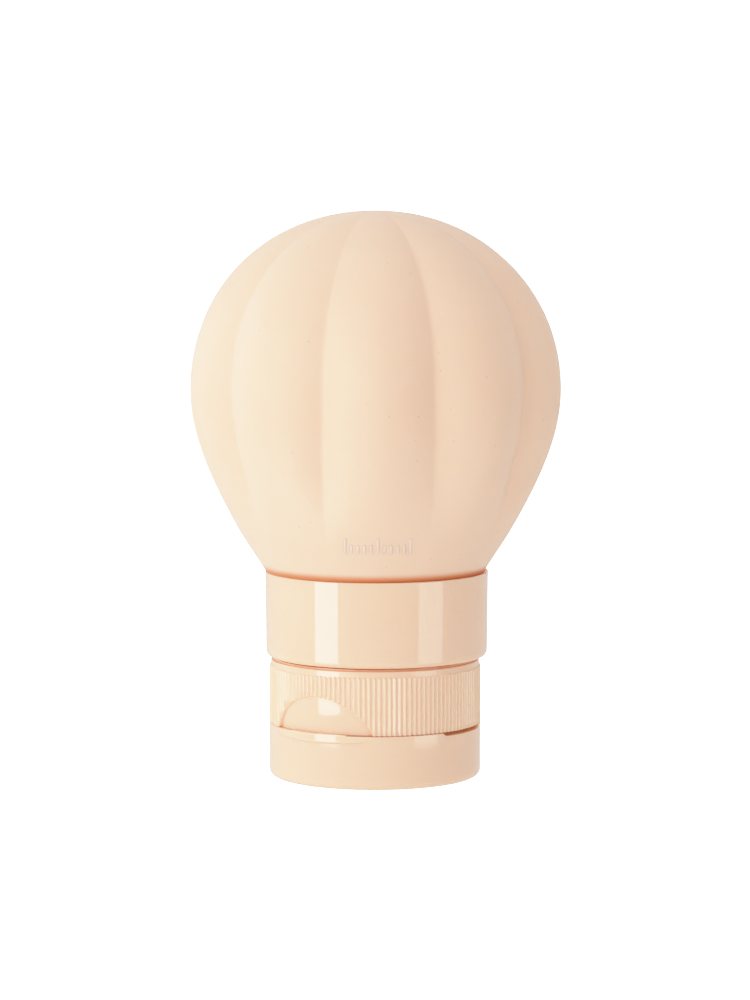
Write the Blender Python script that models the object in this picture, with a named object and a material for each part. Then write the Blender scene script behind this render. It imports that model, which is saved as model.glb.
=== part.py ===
"""Squeeze bottle with a fluted silicone bulb, standing upside down on its flip-top cap.

Metres, +Z up. The origin is the middle of the lid's flat end, which the bottle stands on.
The thumb lip of the lid faces -Y and its hinge is at +Y.
"""

import math

import bmesh
import bpy

# Fits
FIT_GAP = 0.0003            # between pieces that seat on each other
CUT_OVERRUN = 0.002         # how far a cutting tool runs past what it cuts

# Radii, from the bore outwards
SPOUT_BORE_RADIUS = 0.0116
SPOUT_WALL = 0.0015
THREAD_SPACE = 0.00135      # radial room for the two threads
SKIRT_WALL = 0.00208
RIB_HEIGHT = 0.00025
SLEEVE_WALL = 0.0020
NECK_WALL = 0.0023
COLLAR_WALL = 0.00125

# Flip lid
LID_HEIGHT = 0.00858
LID_WALL = 0.0013
LID_TOP_THICKNESS = 0.0014
LID_EDGE_RADIUS = 0.0014
LID_INNER_RADIUS = 0.0006
LIP_HALF_ANGLE = 20.0       # degrees either side of the thumb lip's middle
LIP_END_ANGLE = 1.0         # over which it drops to the rim
LIP_CLEARANCE = 0.0001      # left between the thumb lip and the skirt above it
LEDGE_HALF_ANGLE = 30.0
LEDGE_REACH = 0.00045
LEDGE_HEIGHT = 0.00126
NOTCH_START_ANGLE = 73.0
NOTCH_END_ANGLE = 112.0
NOTCH_RAMP_ANGLE = 2.0
NOTCH_DEPTH = 0.0005
PLUG_WALL = 0.0008
LID_COLUMNS = 60

# Cap base
SEAM_GAP = 0.00032
SKIRT_HEIGHT = 0.0101
RIB_COUNT = 130
RIB_CREST_SHARE = 0.5
RIB_FLANK_SHARE = 0.12
RIB_BAND = 0.0011           # plain band between the ribs' upper ends and the skirt's rim
RIB_END = 0.00045
SKIRT_EDGE = 0.00035
BORE_CHAMFER = 0.0004
DECK_RECESS = 0.0003
DECK_THICKNESS = 0.0013
LAND_HEIGHT = 0.0012
UPSTAND_REACH = 0.0008
UPSTAND_WALL = 0.0011
UPSTAND_CLEARANCE = 0.00045
POUR_HOLE_RADIUS = 0.0034
POUR_BEAD_WALL = 0.0010
POUR_BEAD_HEIGHT = 0.0008
SCOOP_RADIUS = 0.00985
SCOOP_DROP = 0.0041         # from the skirt's lower edge down to the scoop's centre
SCOOP_DEPTH = 0.0007
SCOOP_TOP_DEPTH = 0.00033
SCOOP_COLUMNS = 64

# Valve and seals
VALVE_RADIUS = 0.0070
VALVE_THICKNESS = 0.0008
VALVE_DISH_DEPTH = 0.0013
VALVE_SEAT_WALL = 0.0010
RETAINER_THICKNESS = 0.0010
RETAINER_BORE_RADIUS = 0.0036
GASKET_THICKNESS = 0.0010
GASKET_WIDTH = 0.0024

# Living hinge
HINGE_POCKET_HALF_ANGLE = 24.0
HINGE_FLOOR = 0.0005        # wall left behind the pocket in the lid
HINGE_POCKET_UP = 0.0026
HINGE_POCKET_DOWN = 0.0024
FILM_THICKNESS = 0.00022
FILM_HALF_ANGLE = 9.0
STRAP_THICKNESS = 0.00045
STRAP_INNER_ANGLE = 12.0
STRAP_OUTER_ANGLE = 21.0

# Collar and neck insert
COLLAR_GAP = 0.0006
COLLAR_HEIGHT = 0.01345
COLLAR_EDGE_RADIUS = 0.00104
COLLAR_DRAFT = 0.00015
COLLAR_RIM_WIDTH = 0.0005
COLLAR_CHAMFER_HEIGHT = 0.0012
COLLAR_LIP_THICKNESS = 0.0013
COLLAR_LIP_CLEARANCE = 0.0011
FLANGE_THICKNESS = 0.0014
SLEEVE_HEIGHT = 0.0076
BARB_DEPTH = 0.0003
BARB_COUNT = 2

# Silicone bulb
BULB_RADIUS = 0.03019       # to the lobes' crowns at the belly
BULB_CROWN_HEIGHT = 0.02814 # belly to top
BULB_BELLY_HEIGHT = 0.0294  # collar rim to belly
BULB_OVERHANG = 0.00021     # how far the bulb's foot stands outside the collar
BULB_FOOT_HEIGHT = 0.0008
BULB_FOOT_ANGLE = 63.0      # slope of the bulb's side where it meets its foot
BULB_ROLL_RADIUS = 0.0011
BULB_BELLY_HANDLE = 0.0119
BULB_FOOT_HANDLE = 0.0027
BULB_WALL = 0.0023
CROWN_SQUARENESS = 2.05
LOBE_COUNT = 10
LOBE_TURN = 34.7            # degrees from the thumb lip to the middle of a lobe
FLUTE_DEPTH = 0.00232
FLUTE_FADE_START = 0.0045   # above the collar's rim, where the flutes begin
FLUTE_FADE_END = 0.0190     # and where they reach full depth
FLUTE_TOP_SHARE = 0.65      # what is left of their relative depth at the top
COLUMNS_PER_LOBE = 6
CROWN_RINGS = 11
BELLY_RINGS = 9

# Finish
PEACH_SILICONE = (0.93, 0.70, 0.49, 1.0)
PEACH_PLASTIC = (0.92, 0.69, 0.48, 1.0)
CLEAR_SILICONE = (0.90, 0.88, 0.84, 1.0)
LINER_WHITE = (0.88, 0.87, 0.84, 1.0)

TURN_COLUMNS = 60
INSERT_COLUMNS = 45
SMALL_COLUMNS = 32
DISH_STEPS = 3
PLATE_COLUMNS = 6
POCKET_COLUMNS = 12

# Radii that follow
spout_radius = SPOUT_BORE_RADIUS + SPOUT_WALL
cap_bore_radius = spout_radius + THREAD_SPACE
band_radius = cap_bore_radius + SKIRT_WALL
cap_radius = band_radius + RIB_HEIGHT
sleeve_radius = SPOUT_BORE_RADIUS + SLEEVE_WALL
neck_inner_radius = sleeve_radius + FIT_GAP
neck_radius = neck_inner_radius + NECK_WALL
collar_bore_radius = neck_radius + FIT_GAP
collar_radius = collar_bore_radius + COLLAR_WALL
lid_inner_radius = cap_radius - LID_WALL
upstand_radius = lid_inner_radius - UPSTAND_CLEARANCE
seat_radius = VALVE_RADIUS + FIT_GAP
hinge_floor_radius = lid_inner_radius + HINGE_FLOOR
hinge_radius = hinge_floor_radius + FIT_GAP

# Heights that follow, from the lid's flat end upwards
skirt_bottom = LID_HEIGHT + SEAM_GAP
skirt_top = skirt_bottom + SKIRT_HEIGHT
rib_top = skirt_top - RIB_BAND
deck_bottom = skirt_bottom + DECK_RECESS
deck_top = deck_bottom + DECK_THICKNESS
land_top = deck_top + LAND_HEIGHT
valve_bottom = deck_top + FIT_GAP
valve_top = valve_bottom + VALVE_THICKNESS
retainer_bottom = valve_top + FIT_GAP
seat_top = retainer_bottom + RETAINER_THICKNESS
gasket_bottom = land_top + FIT_GAP
spout_end = gasket_bottom + GASKET_THICKNESS + FIT_GAP
bead_bottom = deck_bottom - POUR_BEAD_HEIGHT
collar_bottom = skirt_top + COLLAR_GAP
collar_top = collar_bottom + COLLAR_HEIGHT
collar_lip_top = collar_bottom + COLLAR_LIP_THICKNESS
flange_bottom = collar_lip_top + FIT_GAP
flange_top = flange_bottom + FLANGE_THICKNESS
neck_end = flange_top + FIT_GAP
sleeve_top = flange_top + SLEEVE_HEIGHT
belly = collar_top + BULB_BELLY_HEIGHT


def clear_scene():
    for obj in list(bpy.data.objects):
        bpy.data.objects.remove(obj, do_unlink=True)


def principled(name, colour, roughness):
    material = bpy.data.materials.new(name)
    material.use_nodes = True
    shader = material.node_tree.nodes["Principled BSDF"]
    shader.inputs["Base Color"].default_value = colour
    shader.inputs["Roughness"].default_value = roughness
    shader.inputs["Metallic"].default_value = 0.0
    return material


def finish(name, bm, material, smooth_angle=30.0):
    """Turn a bmesh into a smooth-shaded object with its material."""
    bmesh.ops.recalc_face_normals(bm, faces=bm.faces)
    mesh = bpy.data.meshes.new(name)
    bm.to_mesh(mesh)
    bm.free()
    mesh.shade_smooth()
    mesh.set_sharp_from_angle(angle=math.radians(smooth_angle))
    obj = bpy.data.objects.new(name, mesh)
    bpy.context.collection.objects.link(obj)
    if material:
        mesh.materials.append(material)
    return obj


def hide_tool(obj):
    obj.hide_render = True
    obj.display_type = "WIRE"
    return obj


def cut(obj, tool, operation="DIFFERENCE"):
    modifier = obj.modifiers.new(tool.name, "BOOLEAN")
    modifier.operation = operation
    modifier.solver = "EXACT"
    modifier.object = tool
    return modifier


def polar(radius, degrees, height):
    """A point at an angle from the thumb lip (-Y), positive towards +X."""
    angle = math.radians(degrees)
    return (radius * math.sin(angle), -radius * math.cos(angle), height)


def arc(centre_radius, centre_height, radius, start, end, steps):
    """Points of a round corner in a profile, angles in degrees from +X towards +Z."""
    points = []
    for step in range(steps + 1):
        angle = math.radians(start + (end - start) * step / steps)
        points.append((centre_radius + radius * math.cos(angle), centre_height + radius * math.sin(angle)))
    return points


def turned(name, profile, columns, material, closed=True):
    """Spin a profile of (radius, height) points about the Z axis."""
    bm = bmesh.new()
    verts = [bm.verts.new((radius, 0, height)) for radius, height in profile]
    count = len(verts)
    edges = [bm.edges.new((verts[i], verts[(i + 1) % count])) for i in range(count if closed else count - 1)]
    bmesh.ops.spin(bm, geom=verts + edges, cent=(0, 0, 0), axis=(0, 0, 1), angle=math.tau,
                   steps=columns, use_merge=True, use_duplicate=False)
    bmesh.ops.remove_doubles(bm, verts=bm.verts, dist=FIT_GAP / 100)
    return finish(name, bm, material)


def add_ring(bm, angles, radius, height):
    """A ring of vertices; radius and height are numbers or functions of the angle."""
    ring = []
    for degrees in angles:
        r = radius(degrees) if callable(radius) else radius
        z = height(degrees) if callable(height) else height
        ring.append(bm.verts.new(polar(r, degrees, z)))
    return ring


def join_rings(bm, first, second):
    """Faces between two rings; one may have a whole multiple of the other's vertices."""
    if len(first) < len(second):
        first, second = second, first
    ratio = len(first) // len(second)
    for j, low in enumerate(second):
        following = second[(j + 1) % len(second)]
        fine = [first[(j * ratio + k) % len(first)] for k in range(ratio + 1)]
        if ratio == 1:
            bm.faces.new((fine[0], fine[1], following, low))
            continue
        half = ratio // 2
        for k in range(half):
            bm.faces.new((fine[k], fine[k + 1], low))
        bm.faces.new((fine[half], following, low))
        for k in range(half, ratio):
            bm.faces.new((fine[k], fine[k + 1], following))


def close_ring(bm, ring, height):
    tip = bm.verts.new((0, 0, height))
    for i, vert in enumerate(ring):
        bm.faces.new((vert, ring[(i + 1) % len(ring)], tip))


def even_angles(count, offset=0.0):
    return [offset + 360.0 * i / count for i in range(count)]


def smooth_step(value):
    value = min(max(value, 0.0), 1.0)
    return value * value * (3 - 2 * value)


def ring_sector(name, inner, outer, start, end, bottom, top, material, columns):
    """A curved plate about the Z axis, between two angles from the thumb lip."""
    bm = bmesh.new()
    section = ((inner, bottom), (outer, bottom), (outer, top), (inner, top))
    rows = []
    for step in range(columns + 1):
        degrees = start + (end - start) * step / columns
        rows.append([bm.verts.new(polar(r, degrees, z)) for r, z in section])
    for a, b in zip(rows, rows[1:]):
        for i in range(4):
            bm.faces.new((a[i], a[(i + 1) % 4], b[(i + 1) % 4], b[i]))
    bm.faces.new(rows[0])
    bm.faces.new(list(reversed(rows[-1])))
    return finish(name, bm, material)


# Bulb


def belly_curve(share):
    """Bezier from the belly down to the bulb's foot, as radius and height."""
    foot_angle = math.radians(BULB_FOOT_ANGLE)
    foot_radius = collar_radius + BULB_OVERHANG
    foot_height = collar_top + BULB_FOOT_HEIGHT
    reach = BULB_FOOT_HANDLE * math.cos(foot_angle)
    climb = BULB_FOOT_HANDLE * math.sin(foot_angle)
    points = (
        (BULB_RADIUS, belly),
        (BULB_RADIUS, belly - BULB_BELLY_HANDLE),
        (foot_radius + reach, foot_height + climb),
        (foot_radius, foot_height),
    )
    rest = 1 - share
    weights = (rest ** 3, 3 * share * rest ** 2, 3 * share ** 2 * rest, share ** 3)
    return tuple(sum(w * p[i] for w, p in zip(weights, points)) for i in range(2))


def crown_curve(share):
    """Superellipse from the top (share 0) down to the belly (share 1)."""
    rise = math.cos(share * math.pi / 2)
    run = (1 - rise ** CROWN_SQUARENESS) ** (1 / CROWN_SQUARENESS)
    return (BULB_RADIUS * run, belly + BULB_CROWN_HEIGHT * rise)


def bulb_side():
    """The side of the bulb from just under its top to its foot."""
    side = [crown_curve((i + 1) / CROWN_RINGS) for i in range(CROWN_RINGS)]
    side += [belly_curve((i + 1) / BELLY_RINGS) for i in range(BELLY_RINGS)]
    return side


def inset_side(side, wall):
    """The side moved inwards along its normals by the wall."""
    inner = []
    for i, (radius, height) in enumerate(side):
        before = side[max(i - 1, 0)]
        after = side[min(i + 1, len(side) - 1)]
        dr, dz = after[0] - before[0], after[1] - before[1]
        length = math.hypot(dr, dz)
        inner.append((radius + wall * dz / length, height - wall * dr / length))
    return inner


def flute_share(height):
    """How deep the creases are at a height, as a share of the radius."""
    fade = smooth_step((height - collar_top - FLUTE_FADE_START) / (FLUTE_FADE_END - FLUTE_FADE_START))
    rise = max(height - belly, 0) / BULB_CROWN_HEIGHT
    return FLUTE_DEPTH / BULB_RADIUS * fade * (1 - (1 - FLUTE_TOP_SHARE) * min(rise, 1))


def fluted(radius, height):
    """Radius as a function of the angle: round lobes that meet in creases."""
    half = 180.0 / LOBE_COUNT
    depth = flute_share(height)

    def at(degrees):
        across = ((degrees - LOBE_TURN + half) % (2 * half)) / half - 1
        return radius * (1 - depth * across * across)

    return at


def build_bulb(material):
    bm = bmesh.new()
    columns = LOBE_COUNT * COLUMNS_PER_LOBE
    outer_angles = even_angles(columns, LOBE_TURN)
    inner_angles = even_angles(columns // 2, LOBE_TURN)
    side = bulb_side()

    foot_radius, foot_height = side[-1]
    tilt = math.radians(BULB_FOOT_ANGLE)
    roll_radius = foot_radius - BULB_ROLL_RADIUS * math.sin(tilt)
    roll_height = foot_height + BULB_ROLL_RADIUS * math.cos(tilt)
    roll = arc(roll_radius, roll_height, BULB_ROLL_RADIUS, BULB_FOOT_ANGLE - 90, -90, 3)[1:]
    foot = roll + [(neck_radius, roll[-1][1]), (neck_radius, neck_end)]

    outer = [add_ring(bm, outer_angles, fluted(r, z), z) for r, z in side]
    outer += [add_ring(bm, outer_angles, r, z) for r, z in foot]
    for a, b in zip(outer, outer[1:]):
        join_rings(bm, a, b)
    close_ring(bm, outer[0], belly + BULB_CROWN_HEIGHT)

    inner_side = inset_side(side, BULB_WALL)
    inner = [add_ring(bm, inner_angles, fluted(r, z), z) for r, z in inner_side if r > BULB_WALL]
    inner += [add_ring(bm, inner_angles, neck_inner_radius, z) for z in (collar_top, neck_end)]
    for a, b in zip(inner, inner[1:]):
        join_rings(bm, a, b)
    close_ring(bm, inner[0], belly + BULB_CROWN_HEIGHT - BULB_WALL)
    join_rings(bm, outer[-1], inner[-1])
    return finish("silicone_bulb", bm, material, 60.0)


# Collar and neck insert


def build_collar(material):
    bottom_radius = collar_radius - COLLAR_DRAFT
    lip_radius = spout_radius + COLLAR_LIP_CLEARANCE
    corner = arc(bottom_radius - COLLAR_EDGE_RADIUS, collar_bottom + COLLAR_EDGE_RADIUS, COLLAR_EDGE_RADIUS,
                 0, -90, 3)
    profile = [
        (collar_bore_radius, collar_top - COLLAR_CHAMFER_HEIGHT),
        (collar_radius - COLLAR_RIM_WIDTH, collar_top),
        (collar_radius, collar_top),
    ] + corner + [
        (lip_radius, collar_bottom),
        (lip_radius, collar_lip_top),
        (collar_bore_radius, collar_lip_top),
    ]
    return turned("collar_ring", profile, TURN_COLUMNS, material)


def build_insert(material):
    barb_pitch = SLEEVE_HEIGHT / (BARB_COUNT + 1)
    barbs = []
    for i in range(BARB_COUNT, 0, -1):
        tip = flange_top + barb_pitch * i
        barbs.append((sleeve_radius - BARB_DEPTH, tip + barb_pitch / 2))
        barbs.append((sleeve_radius, tip))
        barbs.append((sleeve_radius - BARB_DEPTH, tip))
    profile = [(SPOUT_BORE_RADIUS, sleeve_top), (sleeve_radius - BARB_DEPTH, sleeve_top)] + barbs + [
        (sleeve_radius - BARB_DEPTH, flange_top),
        (neck_radius, flange_top),
        (neck_radius, flange_bottom),
        (spout_radius, flange_bottom),
        (spout_radius, spout_end),
        (SPOUT_BORE_RADIUS, spout_end),
    ]
    return turned("neck_insert", profile, INSERT_COLUMNS, material)


# Cap base


def rib_angles():
    """Four vertices a rib: the two edges of its crest and of its root."""
    pitch = 360.0 / RIB_COUNT
    shares = (-RIB_CREST_SHARE / 2, RIB_CREST_SHARE / 2 - RIB_FLANK_SHARE,
              RIB_CREST_SHARE / 2, 1 - RIB_CREST_SHARE / 2 - RIB_FLANK_SHARE)
    return [pitch * (i + share) for i in range(RIB_COUNT) for share in shares]


def rib_ring(bm, height):
    ring = []
    for i, degrees in enumerate(rib_angles()):
        radius = cap_radius if i % 4 in (0, 1) else band_radius
        ring.append(bm.verts.new(polar(radius, degrees, height)))
    return ring


def build_base(material):
    bm = bmesh.new()
    half_count = RIB_COUNT // 2
    rib_middles = even_angles(RIB_COUNT)
    coarse = even_angles(half_count)
    seat_outer = seat_radius + VALVE_SEAT_WALL
    bead_outer = POUR_HOLE_RADIUS + POUR_BEAD_WALL
    upstand_inner = upstand_radius - UPSTAND_WALL
    upstand_end = skirt_bottom - UPSTAND_REACH

    rings = [
        rib_ring(bm, skirt_bottom),
        rib_ring(bm, rib_top - RIB_END),
        add_ring(bm, rib_middles, band_radius, rib_top),
        add_ring(bm, rib_middles, band_radius, skirt_top - SKIRT_EDGE),
        add_ring(bm, rib_middles, band_radius - SKIRT_EDGE, skirt_top),
    ]
    inside = [
        (cap_bore_radius + BORE_CHAMFER, skirt_top),
        (cap_bore_radius, skirt_top - BORE_CHAMFER),
        (cap_bore_radius, land_top),
        (seat_outer, land_top),
        (seat_outer, seat_top),
        (seat_radius, seat_top),
        (seat_radius, deck_top),
        (POUR_HOLE_RADIUS, deck_top),
        (POUR_HOLE_RADIUS, bead_bottom),
        (bead_outer, bead_bottom),
        (bead_outer, deck_bottom),
        (upstand_inner, deck_bottom),
        (upstand_inner, upstand_end),
        (upstand_radius, upstand_end),
        (upstand_radius, skirt_bottom),
    ]
    rings += [add_ring(bm, coarse, r, z) for r, z in inside]
    rings.append(add_ring(bm, rib_middles, band_radius - RIB_HEIGHT, skirt_bottom))
    for a, b in zip(rings, rings[1:] + rings[:1]):
        join_rings(bm, a, b)
    base = finish("cap_base", bm, material)

    scoop = build_scoop_tool()
    cut(base, scoop)
    pocket = hide_tool(ring_sector(
        "hinge_pocket_tool", hinge_floor_radius, cap_radius + CUT_OVERRUN,
        180 - HINGE_POCKET_HALF_ANGLE, 180 + HINGE_POCKET_HALF_ANGLE,
        LID_HEIGHT - HINGE_POCKET_DOWN, skirt_bottom + HINGE_POCKET_UP, None, POCKET_COLUMNS))
    cut(base, pocket)
    return base, pocket


def build_scoop_tool():
    """A disc cut in from -Y that stops at a cone round the cap's axis."""
    centre_height = skirt_bottom - SCOOP_DROP
    apex_height = centre_height + SCOOP_RADIUS
    bpy.ops.mesh.primitive_cylinder_add(vertices=SCOOP_COLUMNS, radius=SCOOP_RADIUS, depth=cap_radius)
    disc = bpy.context.object
    disc.name = "scoop_tool"
    disc.rotation_euler = (math.pi / 2, 0, 0)
    disc.location = (0, -cap_radius / 2 - CUT_OVERRUN, centre_height)

    slope = (SCOOP_DEPTH - SCOOP_TOP_DEPTH) / (apex_height - skirt_bottom)
    low, high = skirt_bottom - CUT_OVERRUN, apex_height + CUT_OVERRUN
    low_radius = cap_radius - SCOOP_DEPTH - slope * CUT_OVERRUN
    high_radius = cap_radius - SCOOP_TOP_DEPTH + slope * CUT_OVERRUN
    floor = turned("scoop_floor_tool", [(0, -cap_radius), (low_radius, -cap_radius), (low_radius, low),
                                        (high_radius, high), (0, high)], RIB_COUNT, None, closed=False)
    cut(disc, hide_tool(floor))
    return hide_tool(disc)


# Flip lid


def lid_angles():
    """Even columns, and one at each place where the rim changes."""
    marks = []
    for sign in (-1, 1):
        for degrees in (LIP_HALF_ANGLE, LIP_HALF_ANGLE + LIP_END_ANGLE, LEDGE_HALF_ANGLE, NOTCH_START_ANGLE,
                        NOTCH_START_ANGLE + NOTCH_RAMP_ANGLE, NOTCH_END_ANGLE - NOTCH_RAMP_ANGLE, NOTCH_END_ANGLE):
            marks.append(sign * degrees)
    step = 360.0 / LID_COLUMNS
    even = [-180 + step * i for i in range(LID_COLUMNS)]
    kept = [degrees for degrees in even if all(abs(degrees - mark) > step / 3 for mark in marks)]
    return sorted(kept + marks)


def lid_rim(degrees):
    away = abs(degrees)
    if away <= LIP_HALF_ANGLE:
        return skirt_bottom - LIP_CLEARANCE
    into = min((away - NOTCH_START_ANGLE) / NOTCH_RAMP_ANGLE, (NOTCH_END_ANGLE - away) / NOTCH_RAMP_ANGLE)
    return LID_HEIGHT - NOTCH_DEPTH * min(max(into, 0), 1)


def ledge_share(degrees):
    """Crescent: full in the middle of the thumb lip, nothing at its ends."""
    across = min(abs(degrees) / LEDGE_HALF_ANGLE, 1)
    return math.sqrt(1 - across * across)


def build_lid(material, pocket):
    bm = bmesh.new()
    angles = lid_angles()
    plug_radius = POUR_HOLE_RADIUS - FIT_GAP
    plug_top = valve_bottom - VALVE_DISH_DEPTH - FIT_GAP
    notch_floor = LID_HEIGHT - NOTCH_DEPTH - FIT_GAP

    corner = arc(cap_radius - LID_EDGE_RADIUS, LID_EDGE_RADIUS, LID_EDGE_RADIUS, -90, 0, 4)
    rings = [add_ring(bm, angles, r, z) for r, z in corner]
    rings += [
        add_ring(bm, angles, cap_radius, lambda a: notch_floor - (LEDGE_HEIGHT - NOTCH_DEPTH) * ledge_share(a)),
        add_ring(bm, angles, lambda a: cap_radius + LEDGE_REACH * ledge_share(a), lid_rim),
        add_ring(bm, angles, lid_inner_radius, lid_rim),
    ]
    fillet_radius = lid_inner_radius - LID_INNER_RADIUS
    fillet_height = LID_TOP_THICKNESS + LID_INNER_RADIUS
    inside = arc(fillet_radius, fillet_height, LID_INNER_RADIUS, 0, -90, 2)
    inside += [
        (plug_radius, LID_TOP_THICKNESS),
        (plug_radius, plug_top),
        (plug_radius - PLUG_WALL, plug_top),
        (plug_radius - PLUG_WALL, LID_TOP_THICKNESS),
    ]
    rings += [add_ring(bm, angles, r, z) for r, z in inside]
    for a, b in zip(rings, rings[1:]):
        join_rings(bm, a, b)
    close_ring(bm, rings[0], 0)
    close_ring(bm, rings[-1], LID_TOP_THICKNESS)
    lid = finish("flip_lid", bm, material)
    cut(lid, pocket)
    return lid


# Hinge, valve and gasket


def build_hinge(material):
    bottom = LID_HEIGHT - HINGE_POCKET_DOWN + FIT_GAP
    top = skirt_bottom + HINGE_POCKET_UP - FIT_GAP
    plates = (
        ("hinge_film", FILM_THICKNESS, -FILM_HALF_ANGLE, FILM_HALF_ANGLE),
        ("hinge_strap_left", STRAP_THICKNESS, STRAP_INNER_ANGLE, STRAP_OUTER_ANGLE),
        ("hinge_strap_right", STRAP_THICKNESS, -STRAP_OUTER_ANGLE, -STRAP_INNER_ANGLE),
    )
    for name, thickness, start, end in plates:
        ring_sector(name, hinge_radius, hinge_radius + thickness, 180 + start, 180 + end,
                    bottom, top, material, PLATE_COLUMNS)


def build_valve(material):
    """A flanged silicone disc with a dish that hangs in the pouring hole."""
    dish_radius = POUR_HOLE_RADIUS - FIT_GAP
    dish_inner = dish_radius - VALVE_THICKNESS
    outer, inner = [], []
    for i in range(DISH_STEPS + 1):
        angle = math.pi / 2 * i / DISH_STEPS
        outer.append((dish_radius * math.sin(angle), valve_bottom - VALVE_DISH_DEPTH * math.cos(angle)))
        inner.append((dish_inner * math.cos(angle), valve_top - VALVE_DISH_DEPTH * math.sin(angle)))
    profile = outer + [(VALVE_RADIUS, valve_bottom), (VALVE_RADIUS, valve_top)] + inner[:-1]
    profile.append((0, inner[-1][1]))
    return turned("valve_membrane", profile, SMALL_COLUMNS, material, closed=False)


def build_retainer(material):
    profile = [
        (RETAINER_BORE_RADIUS, seat_top),
        (VALVE_RADIUS, seat_top),
        (VALVE_RADIUS, retainer_bottom),
        (RETAINER_BORE_RADIUS, retainer_bottom),
    ]
    return turned("valve_retainer", profile, SMALL_COLUMNS, material)


def build_gasket(material):
    outer = spout_radius + FIT_GAP
    profile = [
        (outer - GASKET_WIDTH, gasket_bottom + GASKET_THICKNESS),
        (outer, gasket_bottom + GASKET_THICKNESS),
        (outer, gasket_bottom),
        (outer - GASKET_WIDTH, gasket_bottom),
    ]
    return turned("cap_gasket", profile, SMALL_COLUMNS, material)


def main():
    clear_scene()
    silicone = principled("peach_silicone", PEACH_SILICONE, 0.55)
    gloss = principled("peach_polypropylene", PEACH_PLASTIC, 0.12)
    clear = principled("clear_silicone", CLEAR_SILICONE, 0.35)
    liner = principled("foamed_liner", LINER_WHITE, 0.7)

    build_bulb(silicone)
    build_collar(gloss)
    build_insert(gloss)
    _, pocket = build_base(gloss)
    build_lid(gloss, pocket)
    build_hinge(gloss)
    build_valve(clear)
    build_retainer(gloss)
    build_gasket(liner)


main()
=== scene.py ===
import math

import bmesh
import bpy
from mathutils import Matrix, Vector


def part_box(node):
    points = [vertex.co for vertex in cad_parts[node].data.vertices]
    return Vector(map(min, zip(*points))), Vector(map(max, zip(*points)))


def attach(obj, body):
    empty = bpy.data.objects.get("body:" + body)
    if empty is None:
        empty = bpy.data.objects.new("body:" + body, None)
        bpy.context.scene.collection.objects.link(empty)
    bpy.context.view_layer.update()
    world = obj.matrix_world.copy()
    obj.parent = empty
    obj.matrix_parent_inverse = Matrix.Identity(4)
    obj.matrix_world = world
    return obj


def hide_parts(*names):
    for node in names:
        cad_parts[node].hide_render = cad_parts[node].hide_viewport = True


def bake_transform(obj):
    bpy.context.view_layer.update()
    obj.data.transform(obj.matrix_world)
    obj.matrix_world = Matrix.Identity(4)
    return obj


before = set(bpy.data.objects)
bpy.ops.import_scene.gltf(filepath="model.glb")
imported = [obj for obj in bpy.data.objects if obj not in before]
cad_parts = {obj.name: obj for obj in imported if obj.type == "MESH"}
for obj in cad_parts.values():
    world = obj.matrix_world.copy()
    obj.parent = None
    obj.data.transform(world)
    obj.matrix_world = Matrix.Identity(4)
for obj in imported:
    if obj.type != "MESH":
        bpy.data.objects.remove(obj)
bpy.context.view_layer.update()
print("frame loaded:", len(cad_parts), "nodes")

mm = 0.001    # every size below is in millimetres, angles in degrees from the thumb lip towards +X
weldDistance = 0.0005
softAngle, crispAngle = 38.0, 50.0    # edges that turn by more than this stay sharp in the shading


# Small helpers

def nodeSpan(name):
    low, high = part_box(name)
    return {"radius": max(high.x, high.y) / mm, "bottom": low.z / mm, "top": high.z / mm}


def clamp(value, low=0.0, high=1.0):
    return min(max(value, low), high)


def smooth(value):
    value = clamp(value)
    return value * value * (3 - 2 * value)


def polar(radius, degrees, height):
    angle = math.radians(degrees)
    return (radius * math.sin(angle) * mm, -radius * math.cos(angle) * mm, height * mm)


def spread(first, last, steps):
    return [first + (last - first) * i / steps for i in range(steps + 1)]


def arcPoints(centreRadius, centreHeight, radius, start, end, steps):
    return [(centreRadius + radius * math.cos(math.radians(a)), centreHeight + radius * math.sin(math.radians(a)))
            for a in spread(start, end, steps)]


def rounded(corners, steps=5, closed=True):
    # corners are (radius, height, fillet); each corner with a fillet becomes an arc
    profile = []
    count = len(corners)
    for i, (r, z, fillet) in enumerate(corners):
        if not fillet or (not closed and i in (0, count - 1)):
            profile.append((r, z))
            continue
        here = Vector((r, z))
        back = (Vector(corners[i - 1][:2]) - here).normalized()
        ahead = (Vector(corners[(i + 1) % count][:2]) - here).normalized()
        half = back.angle(ahead) / 2
        middle = (back + ahead).normalized()
        centre = here + middle * (fillet / math.sin(half))
        first = here + back * (fillet / math.tan(half)) - centre
        last = here + ahead * (fillet / math.tan(half)) - centre
        for share in spread(0, 1, steps):
            spoke = (first * math.sin((1 - share) * (math.pi - 2 * half)) +
                     last * math.sin(share * (math.pi - 2 * half))) / math.sin(math.pi - 2 * half)
            profile.append(tuple(centre + spoke))
    return profile


def ringPoints(angles, radius, height):
    # radius and height are numbers or functions of the angle
    points = []
    for degrees in angles:
        r = radius(degrees) if callable(radius) else radius
        z = height(degrees) if callable(height) else height
        points.append(polar(r, degrees, z))
    return points


def evenAngles(count, offset=0.0):
    return [offset + 360.0 * i / count for i in range(count)]


def meshObject(name, verts, faces, sharpAngle=softAngle):
    mesh = bpy.data.meshes.new(name)
    mesh.from_pydata(verts, [], faces)
    bm = bmesh.new()
    bm.from_mesh(mesh)
    bmesh.ops.remove_doubles(bm, verts=bm.verts, dist=weldDistance * mm)
    bmesh.ops.recalc_face_normals(bm, faces=bm.faces)
    bm.to_mesh(mesh)
    bm.free()
    mesh.shade_smooth()
    mesh.set_sharp_from_angle(angle=math.radians(sharpAngle))
    obj = bpy.data.objects.new(name, mesh)
    bpy.context.scene.collection.objects.link(obj)
    return obj


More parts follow.
